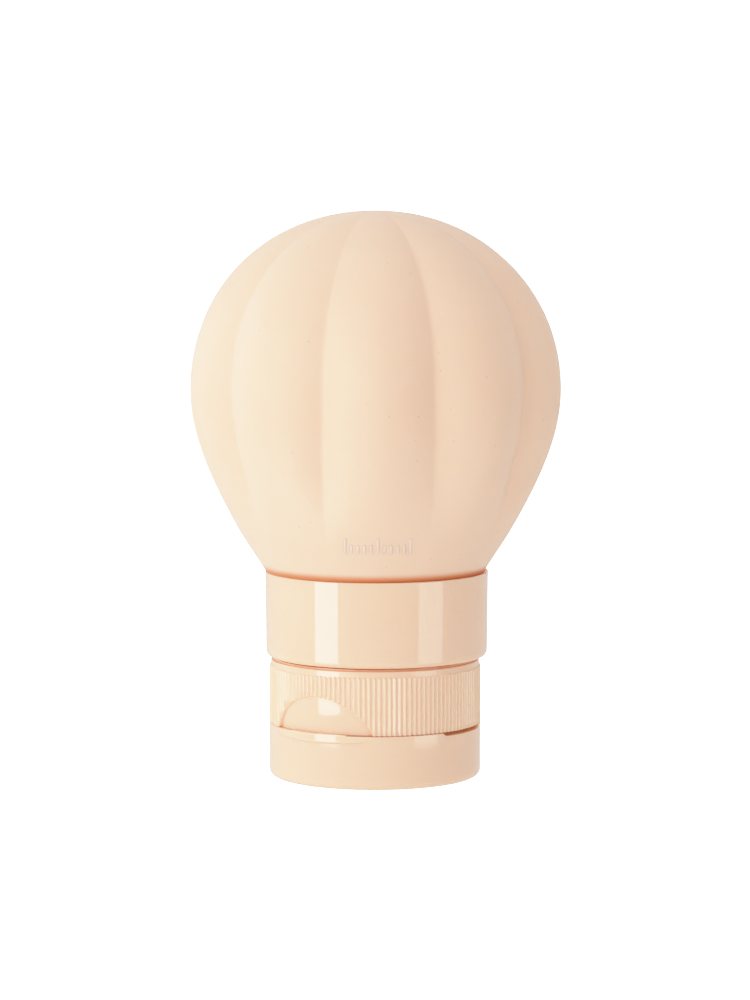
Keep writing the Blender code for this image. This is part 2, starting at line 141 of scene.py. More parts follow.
def ringMesh(name, rings, closed=False, firstTip=None, lastTip=None, sharpAngle=softAngle):
    # skins a stack of rings; a ring may have a whole multiple of its neighbour's points
    verts, starts, faces = [], [], []
    for ring in rings:
        starts.append(len(verts))
        verts += ring
    pairs = list(zip(range(len(rings) - 1), range(1, len(rings))))
    if closed:
        pairs.append((len(rings) - 1, 0))
    for a, b in pairs:
        fine, coarse = (a, b) if len(rings[a]) >= len(rings[b]) else (b, a)
        many, few = len(rings[fine]), len(rings[coarse])
        ratio = many // few
        for j in range(few):
            here, following = starts[coarse] + j, starts[coarse] + (j + 1) % few
            run = [starts[fine] + (j * ratio + k) % many for k in range(ratio + 1)]
            if ratio == 1:
                faces.append((run[0], run[1], following, here))
                continue
            half = ratio // 2
            faces += [(run[k], run[k + 1], here) for k in range(half)]
            faces.append((run[half], following, here))
            faces += [(run[k], run[k + 1], following) for k in range(half, ratio)]
    for tip, index in ((firstTip, 0), (lastTip, len(rings) - 1)):
        if tip is not None:
            verts.append((0, 0, tip * mm))
            count = len(rings[index])
            faces += [(starts[index] + j, starts[index] + (j + 1) % count, len(verts) - 1) for j in range(count)]
    return meshObject(name, verts, faces, sharpAngle)


def flattenWalls(obj):
    # large faces lead the shading, so that tall walls reflect straight beside small fillets
    flatWalls = obj.modifiers.new("flatWalls", "WEIGHTED_NORMAL")
    flatWalls.keep_sharp = True
    return obj


def turnedMesh(name, profile, columns, firstTip=None, lastTip=None):
    angles = evenAngles(columns)
    rings = [ringPoints(angles, r, z) for r, z in profile]
    closed = firstTip is None and lastTip is None
    return flattenWalls(ringMesh(name, rings, closed, firstTip, lastTip))


def cutAway(obj, tools, sharpAngle=softAngle):
    # cuts the tools out of the piece for good and removes them
    for tool in tools:
        modifier = obj.modifiers.new(tool.name, "BOOLEAN")
        modifier.operation = "DIFFERENCE"
        modifier.solver = "EXACT"
        modifier.object = tool
    bpy.context.view_layer.update()
    evaluated = obj.evaluated_get(bpy.context.evaluated_depsgraph_get())
    mesh = bpy.data.meshes.new_from_object(evaluated)
    obj.modifiers.clear()
    obj.data = mesh
    for tool in tools:
        bpy.data.objects.remove(tool, do_unlink=True)
    mesh.shade_smooth()
    mesh.set_sharp_from_angle(angle=math.radians(sharpAngle))
    return obj


def dress(obj, material):
    obj.data.materials.clear()
    obj.data.materials.append(material)
    return obj


# Materials

def linearColour(code):
    # sRGB hex to linear
    channels = [int(code[i:i + 2], 16) / 255 for i in (1, 3, 5)]
    return [c / 12.92 if c <= 0.04045 else ((c + 0.055) / 1.055) ** 2.4 for c in channels] + [1.0]


def addNode(tree, kind, inputs=None, **settings):
    node = tree.nodes.new(kind)
    for name, value in settings.items():
        setattr(node, name, value)
    for name, value in (inputs or {}).items():
        if isinstance(value, bpy.types.NodeSocket):
            tree.links.new(value, node.inputs[name])
        else:
            node.inputs[name].default_value = value
    return node


def newMaterial(name):
    material = bpy.data.materials.new(name)
    material.use_nodes = True
    tree = material.node_tree
    return material, tree, tree.nodes["Principled BSDF"]


firstColour, secondColour, mixedColour = 6, 7, 2    # a Mix node's colour sockets share their names with others


def perMetre(size):
    # texture scale whose features are about that many millimetres across
    return 1 / (size * mm)


def addPaintedGapShadeAndGlow(tree, shader, look, colour):
    # painted shade and painted glow: where ambient occlusion is strong, in narrow gaps and corners, the base colour
    # is multiplied by a deeper tint and a faint orange emission is added; they stand in for light that has bounced
    # between the coloured walls and come through them
    shelter = addNode(tree, "ShaderNodeAmbientOcclusion", {"Distance": look["gap"] * mm}, samples=look["gapRays"])
    share = addNode(tree, "ShaderNodeMapRange", {"Value": shelter.outputs["AO"], "From Min": look["gapStart"],
                                                 "From Max": look["gapEnd"]}, interpolation_type="SMOOTHSTEP")
    deep = addNode(tree, "ShaderNodeMix", {"Factor": share.outputs["Result"], firstColour: colour,
                                           secondColour: linearColour(look["paintedGapShadeTint"])},
                   data_type="RGBA", blend_type="MULTIPLY")
    glow = addNode(tree, "ShaderNodeMapRange", {"Value": share.outputs["Result"], "To Max": look["paintedGapGlow"]})
    tree.links.new(deep.outputs[mixedColour], shader.inputs["Base Color"])
    tree.links.new(glow.outputs["Result"], shader.inputs["Emission Strength"])
    shader.inputs["Emission Color"].default_value = linearColour(look["paintedGapGlowColour"])


siliconeLook = {
    "pale": "#F7D6BD", "deep": "#F5D1B8", "mottle": 9.0,
    "lint": "#A07C66", "lintPitch": 2.4, "lintSize": 0.12, "lintFade": 3, "lintStrength": 0.8,
    "grain": 0.22, "grainStrength": 0.12, "grainDepth": 0.02,
    "ior": 1.41, "smoothest": 0.48, "roughest": 0.58, "sheen": 0.12, "sheenRoughness": 0.45,
    "glowWeight": 0.5, "glow": [1.0, 0.7, 0.5], "glowDepth": 1.6,
    # the gap keys set the painted shade and painted glow in gaps and corners
    "gap": 3.4, "gapRays": 5, "gapStart": 0.85, "gapEnd": 0.25,
    "paintedGapShadeTint": "#E3B08A", "paintedGapGlow": 0.14, "paintedGapGlowColour": "#FFAE6C",
    # painted shade low on the bulb's foot, set by height
    "footStart": 34.6, "footEnd": 33.25, "paintedFootShadeTint": "#E0A16E",
}
# painted light: a paler tone for the raised marks, with no painted gap shade and less painted glow
raisedPaintedLightLook = {**siliconeLook, "pale": "#FBE4D0", "deep": "#F9DFCA", "paintedGapShadeTint": "#FFFFFF", "paintedGapGlow": 0.05}


def mouldedSilicone(name, look):
    # Silicone rubber, compression moulded in a blasted tool: matte, soft-edged, light gets under its skin,
    # and it picks up specks of lint
    material, tree, shader = newMaterial(name)
    place = addNode(tree, "ShaderNodeTexCoord").outputs["Object"]
    mottle = addNode(tree, "ShaderNodeTexNoise", {"Vector": place, "Scale": perMetre(look["mottle"]),
                                                  "Detail": 3.0})
    tone = addNode(tree, "ShaderNodeMix", {"Factor": mottle.outputs["Fac"],
                                           firstColour: linearColour(look["pale"]),
                                           secondColour: linearColour(look["deep"])}, data_type="RGBA")
    lint = addNode(tree, "ShaderNodeTexVoronoi", {"Vector": place, "Scale": perMetre(look["lintPitch"])})
    lintReach = look["lintSize"] / look["lintPitch"]
    amount = addNode(tree, "ShaderNodeMapRange", {"Value": lint.outputs["Distance"], "From Min": lintReach,
                                                  "From Max": lintReach / look["lintFade"],
                                                  "To Max": look["lintStrength"]})
    colour = addNode(tree, "ShaderNodeMix", {"Factor": amount.outputs["Result"],
                                             firstColour: tone.outputs[mixedColour],
                                             secondColour: linearColour(look["lint"])}, data_type="RGBA")
    # painted shade: low on the bulb, just above the collar, the colour is multiplied by a deeper orange by height,
    # standing in for the shade where the foot rolls under
    height = addNode(tree, "ShaderNodeSeparateXYZ", {"Vector": place}).outputs["Z"]
    paintedFootShadeShare = addNode(tree, "ShaderNodeMapRange", {"Value": height, "From Min": look["footStart"] * mm,
                                                 "From Max": look["footEnd"] * mm}, interpolation_type="SMOOTHSTEP")
    body = addNode(tree, "ShaderNodeMix", {"Factor": paintedFootShadeShare.outputs["Result"],
                                           firstColour: colour.outputs[mixedColour],
                                           secondColour: linearColour(look["paintedFootShadeTint"])},
                   data_type="RGBA", blend_type="MULTIPLY")
    # the blasted grain is about 0.05 mm; drawn at 0.22 mm so that it shows
    grain = addNode(tree, "ShaderNodeTexNoise", {"Vector": place, "Scale": perMetre(look["grain"]), "Detail": 2.0})
    bump = addNode(tree, "ShaderNodeBump", {"Height": grain.outputs["Fac"], "Strength": look["grainStrength"],
                                            "Distance": look["grainDepth"] * mm})
    matte = addNode(tree, "ShaderNodeMapRange", {"Value": mottle.outputs["Fac"], "To Min": look["smoothest"],
                                                 "To Max": look["roughest"]})
    # painted shade and painted glow in gaps and corners, driven by ambient occlusion
    addPaintedGapShadeAndGlow(tree, shader, look, body.outputs[mixedColour])
    tree.links.new(matte.outputs["Result"], shader.inputs["Roughness"])
    tree.links.new(bump.outputs["Normal"], shader.inputs["Normal"])
    shader.inputs["IOR"].default_value = look["ior"]
    shader.inputs["Subsurface Weight"].default_value = look["glowWeight"]
    shader.inputs["Subsurface Radius"].default_value = look["glow"]
    shader.inputs["Subsurface Scale"].default_value = look["glowDepth"] * mm
    shader.inputs["Sheen Weight"].default_value = look["sheen"]
    shader.inputs["Sheen Roughness"].default_value = look["sheenRoughness"]
    return material


plasticLook = {
    "pale": "#F4D3B9", "deep": "#F2CFB5", "flow": 11.0,
    "ripple": 5.0, "rippleStrength": 0.5, "rippleDepth": 0.03,
    "ior": 1.49, "smoothest": 0.03, "roughest": 0.08,
    "glowWeight": 0.5, "glow": [1.0, 0.8, 0.45], "glowDepth": 1.5,
    # the gap keys set the painted shade and painted glow in gaps and corners
    "gap": 1.8, "gapRays": 5, "gapStart": 0.5, "gapEnd": 0.05,
    "paintedGapShadeTint": "#E0A35C", "paintedGapGlow": 0.12, "paintedGapGlowColour": "#FFB070",
}


def mouldedPolypropylene():
    # Polypropylene, injection moulded in a polished tool: glossy and slightly milky, reflections a little wavy
    look = plasticLook
    material, tree, shader = newMaterial("polypropylenePolishedMoulded")
    place = addNode(tree, "ShaderNodeTexCoord").outputs["Object"]
    flow = addNode(tree, "ShaderNodeTexNoise", {"Vector": place, "Scale": perMetre(look["flow"]), "Detail": 2.0})
    tone = addNode(tree, "ShaderNodeMix", {"Factor": flow.outputs["Fac"],
                                           firstColour: linearColour(look["pale"]),
                                           secondColour: linearColour(look["deep"])}, data_type="RGBA")
    ripple = addNode(tree, "ShaderNodeTexNoise", {"Vector": place, "Scale": perMetre(look["ripple"]),
                                                  "Detail": 1.0})
    bump = addNode(tree, "ShaderNodeBump", {"Height": ripple.outputs["Fac"], "Strength": look["rippleStrength"],
                                            "Distance": look["rippleDepth"] * mm})
    polish = addNode(tree, "ShaderNodeMapRange", {"Value": flow.outputs["Fac"], "To Min": look["smoothest"],
                                                  "To Max": look["roughest"]})
    # painted shade and painted glow in gaps and corners, driven by ambient occlusion
    addPaintedGapShadeAndGlow(tree, shader, look, tone.outputs[mixedColour])
    tree.links.new(polish.outputs["Result"], shader.inputs["Roughness"])
    tree.links.new(bump.outputs["Normal"], shader.inputs["Normal"])
    shader.inputs["IOR"].default_value = look["ior"]
    shader.inputs["Subsurface Weight"].default_value = look["glowWeight"]
    shader.inputs["Subsurface Radius"].default_value = look["glow"]
    shader.inputs["Subsurface Scale"].default_value = look["glowDepth"] * mm
    return material


membraneLook = {
    "pale": "#EDEAE3", "deep": "#E4E0D8", "cloud": 1.5, "ior": 1.41, "smoothest": 0.3, "roughest": 0.4,
    "glowWeight": 0.5, "glow": [1.0, 0.9, 0.8], "glowDepth": 1.0,
}


def mouldedMembrane():
    # Liquid silicone rubber, injection moulded: milky, half-matte skin of the valve
    look = membraneLook
    material, tree, shader = newMaterial("liquidSiliconeMilkyMoulded")
    place = addNode(tree, "ShaderNodeTexCoord").outputs["Object"]
    cloud = addNode(tree, "ShaderNodeTexNoise", {"Vector": place, "Scale": perMetre(look["cloud"]), "Detail": 2.0})
    tone = addNode(tree, "ShaderNodeMix", {"Factor": cloud.outputs["Fac"],
                                           firstColour: linearColour(look["pale"]),
                                           secondColour: linearColour(look["deep"])}, data_type="RGBA")
    matte = addNode(tree, "ShaderNodeMapRange", {"Value": cloud.outputs["Fac"], "To Min": look["smoothest"],
                                                 "To Max": look["roughest"]})
    tree.links.new(tone.outputs[mixedColour], shader.inputs["Base Color"])
    tree.links.new(matte.outputs["Result"], shader.inputs["Roughness"])
    shader.inputs["IOR"].default_value = look["ior"]
    shader.inputs["Subsurface Weight"].default_value = look["glowWeight"]
    shader.inputs["Subsurface Radius"].default_value = look["glow"]
    shader.inputs["Subsurface Scale"].default_value = look["glowDepth"] * mm
    return material


linerLook = {
    "pale": "#F1F0EC", "deep": "#E6E4DE", "cell": 0.25, "cellStrength": 0.4, "cellDepth": 0.03,
    "ior": 1.5, "roughness": 0.75,
}


def foamedLiner():
    # Polyethylene foam, extruded and die-cut: white, dull, with fine closed cells
    look = linerLook
    material, tree, shader = newMaterial("polyethyleneFoamDieCut")
    place = addNode(tree, "ShaderNodeTexCoord").outputs["Object"]
    cells = addNode(tree, "ShaderNodeTexVoronoi", {"Vector": place, "Scale": perMetre(look["cell"])})
    tone = addNode(tree, "ShaderNodeMix", {"Factor": cells.outputs["Distance"],
                                           firstColour: linearColour(look["deep"]),
                                           secondColour: linearColour(look["pale"])}, data_type="RGBA")
    bump = addNode(tree, "ShaderNodeBump", {"Height": cells.outputs["Distance"], "Strength": look["cellStrength"],
                                            "Distance": look["cellDepth"] * mm})
    tree.links.new(tone.outputs[mixedColour], shader.inputs["Base Color"])
    tree.links.new(bump.outputs["Normal"], shader.inputs["Normal"])
    shader.inputs["Roughness"].default_value = look["roughness"]
    shader.inputs["IOR"].default_value = look["ior"]
    return material


silicone = mouldedSilicone("siliconeRubberBlastedMoulded", siliconeLook)
# the raised marks were engraved in the tool after blasting; painted light: they are given a paler colour, standing
# in for light that passes through their thin edges, with no painted gap shade and only a faint painted glow
raisedSiliconePaintedLight = mouldedSilicone("siliconeRubberEngravedPaintedLight", raisedPaintedLightLook)
plastic = mouldedPolypropylene()
membrane = mouldedMembrane()
liner = foamedLiner()
print("materials made")


# Silicone bulb: ten round lobes that fade out above a foot rolled under onto the collar

bulb = {
    "radius": 30.34, "bellyHeight": 62.45, "crownHeight": 28.14, "squareness": 2.05,
    "footRadius": 17.29, "footHeight": 32.7, "footAngle": 56.9, "bellyHandle": 10.71, "footHandle": 10.07,
    "rollRadius": 0.9, "neckRadius": 16.15, "neckBore": 13.9, "neckEnd": 22.9, "wall": 2.3,
    "lobes": 10, "lobeTurn": 34.7, "depthShare": 0.0768, "topShare": 0.65, "valley": 0.05,
    "fadeStart": 37.55, "fadeEnd": 52.05, "columnsPerLobe": 36, "crownRings": 90, "bellyRings": 80,
    "driftTop": 60.0, "driftSpan": 18.0, "driftTwo": 2.5, "driftFour": 1.6,
    "rollSteps": 10, "insideEvery": 4,
}


def crownPoint(share):
    rise = math.cos(share * math.pi / 2)
    run = (1 - rise ** bulb["squareness"]) ** (1 / bulb["squareness"])
    return (bulb["radius"] * run, bulb["bellyHeight"] + bulb["crownHeight"] * rise)


def bellyPoint(share):
    tilt = math.radians(bulb["footAngle"])
    handle = bulb["footHandle"]
    points = ((bulb["radius"], bulb["bellyHeight"]),
              (bulb["radius"], bulb["bellyHeight"] - bulb["bellyHandle"]),
              (bulb["footRadius"] + handle * math.cos(tilt), bulb["footHeight"] + handle * math.sin(tilt)),
              (bulb["footRadius"], bulb["footHeight"]))
    rest = 1 - share
    weights = (rest ** 3, 3 * share * rest ** 2, 3 * share ** 2 * rest, share ** 3)
    return tuple(sum(w * p[i] for w, p in zip(weights, points)) for i in range(2))


def lobeDepth(height):
    fade = smooth((height - bulb["fadeStart"]) / (bulb["fadeEnd"] - bulb["fadeStart"]))
    rise = clamp((height - bulb["bellyHeight"]) / bulb["crownHeight"])
    return bulb["depthShare"] * fade * (1 - (1 - bulb["topShare"]) * rise)


def lobePoint(radius, degrees, height):
    # degrees count from the middle of the front lobe; lower down the creases drift apart a little
    half = 180 / bulb["lobes"]
    across = abs((degrees + half) % (2 * half) / half - 1)
    edge = math.hypot(1 - across, bulb["valley"]) - bulb["valley"]    # rounds the bottom of the crease
    scale = 1 - lobeDepth(height) * (1 - edge) ** 2
    drift = clamp((bulb["driftTop"] - height) / bulb["driftSpan"])
    turn = math.radians(degrees)
    shift = drift * (bulb["driftTwo"] * math.sin(2 * turn) + bulb["driftFour"] * math.sin(4 * turn))
    return polar(radius * scale, bulb["lobeTurn"] + degrees + shift, height)


def insetSide(side, wall):
    inner = []
    for i, (r, z) in enumerate(side):
        before, after = side[max(i - 1, 0)], side[min(i + 1, len(side) - 1)]
        run, drop = after[0] - before[0], after[1] - before[1]
        length = math.hypot(run, drop)
        inner.append((r + wall * drop / length, z - wall * run / length))
    return inner


def buildBulb():
    half = bulb["columnsPerLobe"] // 2
    pitch = 360 / bulb["lobes"]
    steps = [math.sin(math.pi / 2 * i / half) for i in range(-half, half)]    # closer together at the creases
    angles = [pitch * (lobe + step / 2) for lobe in range(bulb["lobes"]) for step in steps]
    side = [crownPoint(share) for share in spread(0, 1, bulb["crownRings"])[1:]]
    side += [bellyPoint(share) for share in spread(0, 1, bulb["bellyRings"])[1:]]
    tilt = math.radians(bulb["footAngle"])
    rollCentre = (bulb["footRadius"] - bulb["rollRadius"] * math.sin(tilt),
                  bulb["footHeight"] + bulb["rollRadius"] * math.cos(tilt))
    foot = arcPoints(*rollCentre, bulb["rollRadius"], bulb["footAngle"] - 90, -90, bulb["rollSteps"])[1:]
    foot += [(bulb["neckRadius"], foot[-1][1]), (bulb["neckRadius"], bulb["neckEnd"])]
    # the hidden inside takes only every few rings
    inside = [point for point in insetSide(side, bulb["wall"])[::bulb["insideEvery"]] if point[0] > bulb["wall"]]
    inside += [(bulb["neckBore"], bulb["footHeight"] - bulb["rollRadius"]), (bulb["neckBore"], bulb["neckEnd"])]

    outer = [[lobePoint(r, a, z) for a in angles] for r, z in side + foot]
    inner = [[lobePoint(r, a, z) for a in angles] for r, z in inside]
    top = bulb["bellyHeight"] + bulb["crownHeight"]
    return ringMesh("siliconeBulb", outer + inner[::-1], firstTip=top, lastTip=top - bulb["wall"])


siliconeBulb = dress(buildBulb(), silicone)
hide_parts("silicone_bulb")
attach(siliconeBulb, "bottle")
print("bulb:", len(siliconeBulb.data.polygons), "faces")


# Level mark: a short row of plain raised ticks low on the front lobe

ticks = {
    "height": 37.95, "tall": 2.6, "short": 1.5, "pitch": 0.87, "count": 11, "every": 5,
    "width": 0.34, "proud": 0.12, "sunk": 0.15, "edge": 0.12, "footing": 0.01, "along": 22, "across": 10,
    "sharpAngle": 60.0,
}


def bulbRadiusAt(height):
    # halves the stretch of the side until it closes on the height
    low, high = 0.0, 1.0
    while high - low > 1e-12:
        share = (low + high) / 2
        if bellyPoint(share)[1] > height:
            low = share
        else:
            high = share
    return bellyPoint(low)[0]


def tickMesh(name, middle, length):
    top, bottom = [], []
    for v in spread(0, length, ticks["along"]):
        height = ticks["height"] + v
        radius = bulbRadiusAt(height)
        for u in spread(-ticks["width"] / 2, ticks["width"] / 2, ticks["across"]):
            inset = min(v, length - v, ticks["width"] / 2 - abs(u))
            swell = math.sqrt(1 - (1 - clamp(inset / ticks["edge"])) ** 2)
            degrees = math.degrees((middle + u) / radius)
            top.append(lobePoint(radius + ticks["proud"] * swell - ticks["footing"], degrees, height))
            bottom.append(lobePoint(radius - ticks["sunk"], degrees, height))
    wide = ticks["across"] + 1
    rows = ticks["along"] + 1
    faces = []
    for i in range(rows - 1):
        for j in range(wide - 1):
            quad = (i * wide + j, i * wide + j + 1, (i + 1) * wide + j + 1, (i + 1) * wide + j)
            faces += [quad, tuple(k + wide * rows for k in reversed(quad))]
    border = [j for j in range(wide)] + [i * wide + wide - 1 for i in range(1, rows)]
    border += [(rows - 1) * wide + j for j in range(wide - 2, -1, -1)] + [i * wide for i in range(rows - 2, 0, -1)]
    for a, b in zip(border, border[1:] + border[:1]):
        faces.append((b, a, a + wide * rows, b + wide * rows))
    return meshObject(name, top + bottom, faces, ticks["sharpAngle"])


for i in range(ticks["count"]):
    isTall = i % ticks["every"] == 0
    middle = (i - (ticks["count"] - 1) / 2) * ticks["pitch"]
    tick = tickMesh(f"levelTick{i + 1:02d}", middle, ticks["tall"] if isTall else ticks["short"])
    dress(tick, raisedSiliconePaintedLight)
    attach(tick, "bottle")
print("level mark made")


# Collar: a tapered gloss ring with a soft lower edge and a thin bright rim

collarSpan = nodeSpan("collar_ring")
collar = {
    "topRadius": collarSpan["radius"] + 0.13, "draft": 0.15, "top": collarSpan["top"],
    "bottom": collarSpan["bottom"] - 0.2, "lowerEdge": 0.92, "upperEdge": 0.15, "rimWidth": 0.3, "rimEdge": 0.1,
    "chamfer": 1.4, "bore": 16.5, "lipTop": 20.9, "lipRadius": 14.2, "lipEdge": 0.12,
    "aside": 0.27, "asideAngle": 123.5, "columns": 360, "edgeSteps": 8,
}


def buildCollar():
    corners = [
        (collar["bore"], collar["top"] - collar["chamfer"], 0),
        (collar["topRadius"] - collar["rimWidth"], collar["top"], collar["rimEdge"]),
        (collar["topRadius"], collar["top"], collar["upperEdge"]),
        (collar["topRadius"] - collar["draft"], collar["bottom"], collar["lowerEdge"]),
        (collar["lipRadius"], collar["bottom"], collar["lipEdge"]),
        (collar["lipRadius"], collar["lipTop"], collar["lipEdge"]),
        (collar["bore"], collar["lipTop"], 0),
    ]
    ring = turnedMesh("collarRing", rounded(corners, collar["edgeSteps"]), collar["columns"])
    # it sits a little to one side on the soft neck
    ring.data.transform(Matrix.Translation(polar(collar["aside"], collar["asideAngle"], 0)))
    return ring


collarRing = dress(buildCollar(), plastic)
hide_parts("collar_ring")
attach(collarRing, "bottle")
print("collar made")


# Neck insert and its screw thread

thread = {
    "lead": 4.2, "turns": 1.4, "root": 1.25, "crest": 0.45, "sunk": 0.15, "fadeTurn": 35.0, "stepsPerTurn": 120,
    "edge": 0.08, "sharpAngle": 30.0,
}
neck = {
    "bore": 11.6, "spout": 13.1, "sleeve": 13.6, "flange": 16.2, "flangeBottom": 21.2, "flangeTop": 22.6,
    "sleeveTop": 30.2, "spoutEnd": 13.3, "barbDepth": 0.3, "barbs": 2, "barbEdge": 0.08, "edge": 0.2,
    "threadReach": 0.95, "threadStart": 14.5, "columns": 180,
}


def threadMesh(name, wallRadius, reach, startHeight, startAngle):
    # a helical ridge on the wall: reach is positive outwards, negative inwards
    steps = int(thread["turns"] * thread["stepsPerTurn"])
    sign = 1 if reach > 0 else -1
    sections = []
    for i in range(steps + 1):
        turned = 360 * thread["turns"] * i / steps
        end = min(turned, 360 * thread["turns"] - turned)
        share = math.sqrt(1 - (1 - clamp(end / thread["fadeTurn"])) ** 2)    # runs out at both ends
        middle = startHeight + thread["lead"] * turned / 360
        tip = wallRadius + reach * share
        root = wallRadius - sign * thread["sunk"]
        profile = [(root, -thread["root"] / 2), (wallRadius, -thread["root"] / 2), (tip, -thread["crest"] / 2),
                   (tip, thread["crest"] / 2), (wallRadius, thread["root"] / 2), (root, thread["root"] / 2)]
        # polar angles here run against the clock seen from above, so the thread is right-handed
        sections.append([polar(r, startAngle + turned, middle + dz) for r, dz in profile])
    count = len(sections[0])
    verts = [point for section in sections for point in section]
    faces = [(a * count + j, a * count + (j + 1) % count, (a + 1) * count + (j + 1) % count, (a + 1) * count + j)
             for a in range(steps) for j in range(count)]
    faces += [tuple(range(count)), tuple(steps * count + j for j in range(count))]
    obj = meshObject(name, verts, faces, thread["sharpAngle"])
    softEdges = obj.modifiers.new("softEdges", "BEVEL")
    softEdges.width = thread["edge"] * mm
    softEdges.segments = 2
    return obj


def buildInsert():
    slim = neck["sleeve"] - neck["barbDepth"]
    pitch = (neck["sleeveTop"] - neck["flangeTop"]) / (neck["barbs"] + 1)
    corners = [(neck["bore"], neck["sleeveTop"], neck["edge"]), (slim, neck["sleeveTop"], neck["edge"])]
    for i in range(neck["barbs"], 0, -1):
        tip = neck["flangeTop"] + pitch * i
        corners += [(slim, tip + pitch / 2, 0), (neck["sleeve"], tip, neck["barbEdge"]), (slim, tip, 0)]
    corners += [
        (slim, neck["flangeTop"], 0), (neck["flange"], neck["flangeTop"], neck["edge"]),
        (neck["flange"], neck["flangeBottom"], neck["edge"]), (neck["spout"], neck["flangeBottom"], 0),
        (neck["spout"], neck["spoutEnd"], neck["edge"]), (neck["bore"], neck["spoutEnd"], neck["edge"]),
    ]
    return turnedMesh("neckInsert", rounded(corners, 4), neck["columns"])


neckInsert = dress(buildInsert(), plastic)
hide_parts("neck_insert")
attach(neckInsert, "bottle")
spoutThread = threadMesh("spoutThread", neck["spout"], neck["threadReach"], neck["threadStart"], 0)
dress(spoutThread, plastic)
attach(spoutThread, "bottle")
print("neck insert made")


# Cap base: ribbed skirt under a plain band, a round scoop over the thumb lip, valve seat and pouring hole inside

cap = {
    "skirtBottom": 8.72, "skirtTop": 18.92, "bandRadius": 16.72, "bandEdge": 0.2, "lowerEdge": 0.07,
    "ribs": 130, "ribHeight": 0.24, "ribTop": 17.9, "ribWidth": 0.4, "ribFlank": 0.34, "columnsPerRib": 12,
    "rimRadius": 16.3, "rimTop": 19.2, "bore": 14.45, "boreChamfer": 0.4,
    "deckBottom": 9.2, "deckTop": 10.5, "landTop": 11.7, "seatTop": 12.9, "seatInner": 7.3, "seatOuter": 8.3,
    "pourHole": 3.4, "beadOuter": 4.4, "beadBottom": 8.4, "upstand": 15.03, "upstandInner": 13.93,
    "upstandEnd": 7.3, "edge": 0.12, "fineEdge": 0.1, "softEdge": 0.2, "fullEdge": 0.3, "insideColumns": 260,
    "threadReach": -0.95, "threadDrop": 0.9,
}
scoop = {
    "radius": 9.85, "centreHeight": 4.8, "apexDepth": 0.3, "lowDepth": 0.72, "bow": 1.5, "slope": 0.26,
    "lift": 0.02, "overrun": 1.5, "facets": 220, "rings": 50, "slopeRings": 12,
}
hinge = {
    "halfAngle": 24.5, "floor": 15.98, "up": 11.5, "down": 6.18, "axisRadius": 16.35, "axisHeight": 8.74,
    "plateRadius": 16.28, "filmThickness": 0.22, "strapThickness": 0.45, "filmHalf": 9.0,
    "strapInner": 12.0, "strapOuter": 21.0, "overlap": 0.5, "rows": 60, "columns": 14, "groove": 0.1,
    "grooveWidth": 0.5, "filmBend": 1.0, "strapBend": 2.1, "pocketOverrun": 2.0, "pocketColumns": 24,
}


def ribRadius(degrees, height):
    pitch = 360 / cap["ribs"]
    offset = ((degrees / pitch + 0.5) % 1 - 0.5) * math.radians(pitch) * cap["bandRadius"]    # along the skirt
    half = cap["ribWidth"] / 2
    past = height - (cap["ribTop"] - half)
    if past > half:
        return cap["bandRadius"]
    if past > 0:
        half = math.sqrt(half * half - past * past)    # the upper ends are round
    return cap["bandRadius"] + cap["ribHeight"] * smooth((half - abs(offset)) / cap["ribFlank"] + 0.5)


def buildBase():
    fineAngles = evenAngles(cap["ribs"] * cap["columnsPerRib"])
    coarseAngles = evenAngles(cap["insideColumns"])
    skirt = []
    for a in (90, 67.5, 45, 22.5, 0):    # small round at the lower edge
        back = cap["lowerEdge"] * (1 - math.cos(math.radians(a)))
        height = cap["skirtBottom"] + cap["lowerEdge"] * (1 - math.sin(math.radians(a)))
        skirt.append(ringPoints(fineAngles, lambda d: ribRadius(d, height) - back, height))
    roundStart = cap["ribTop"] - cap["ribWidth"] / 2
    straight = spread(cap["skirtBottom"] + 1, roundStart, 4)
    ends = spread(roundStart, cap["ribTop"] + 0.02, 9)[1:]    # the last ring lies just above the ribs
    for height in straight + ends:
        skirt.append(ringPoints(fineAngles, lambda d: ribRadius(d, height), height))
    bandEdge = cap["bandEdge"]
    upper = arcPoints(cap["bandRadius"] - bandEdge, cap["skirtTop"] - bandEdge, bandEdge, 0, 90, 6)
    skirt += [ringPoints(coarseAngles, r, z) for r, z in upper]

    corners = [
        (cap["bandRadius"] - bandEdge, cap["skirtTop"], 0),
        (cap["rimRadius"], cap["skirtTop"], cap["fineEdge"]),
        (cap["rimRadius"], cap["rimTop"], cap["edge"]),
        (cap["bore"] + cap["boreChamfer"], cap["rimTop"], cap["fineEdge"]),
        (cap["bore"], cap["rimTop"] - cap["boreChamfer"], 0),
        (cap["bore"], cap["landTop"], 0),
        (cap["seatOuter"], cap["landTop"], 0),
        (cap["seatOuter"], cap["seatTop"], cap["edge"]),
        (cap["seatInner"], cap["seatTop"], cap["edge"]),
        (cap["seatInner"], cap["deckTop"], 0),
        (cap["pourHole"], cap["deckTop"], cap["edge"]),
        (cap["pourHole"], cap["beadBottom"], cap["fullEdge"]),
        (cap["beadOuter"], cap["beadBottom"], cap["fullEdge"]),
        (cap["beadOuter"], cap["deckBottom"], cap["softEdge"]),
        (cap["upstandInner"], cap["deckBottom"], cap["softEdge"]),
        (cap["upstandInner"], cap["upstandEnd"], cap["fullEdge"]),
        (cap["upstand"], cap["upstandEnd"], cap["fullEdge"]),
        (cap["upstand"], cap["skirtBottom"], cap["fineEdge"]),
        (cap["bandRadius"] - cap["lowerEdge"] - cap["fineEdge"], cap["skirtBottom"], 0),
    ]
    inside = [ringPoints(coarseAngles, r, z) for r, z in rounded(corners, 4, closed=False)[1:]]
    return ringMesh("capBase", skirt + inside, closed=True, sharpAngle=crispAngle)


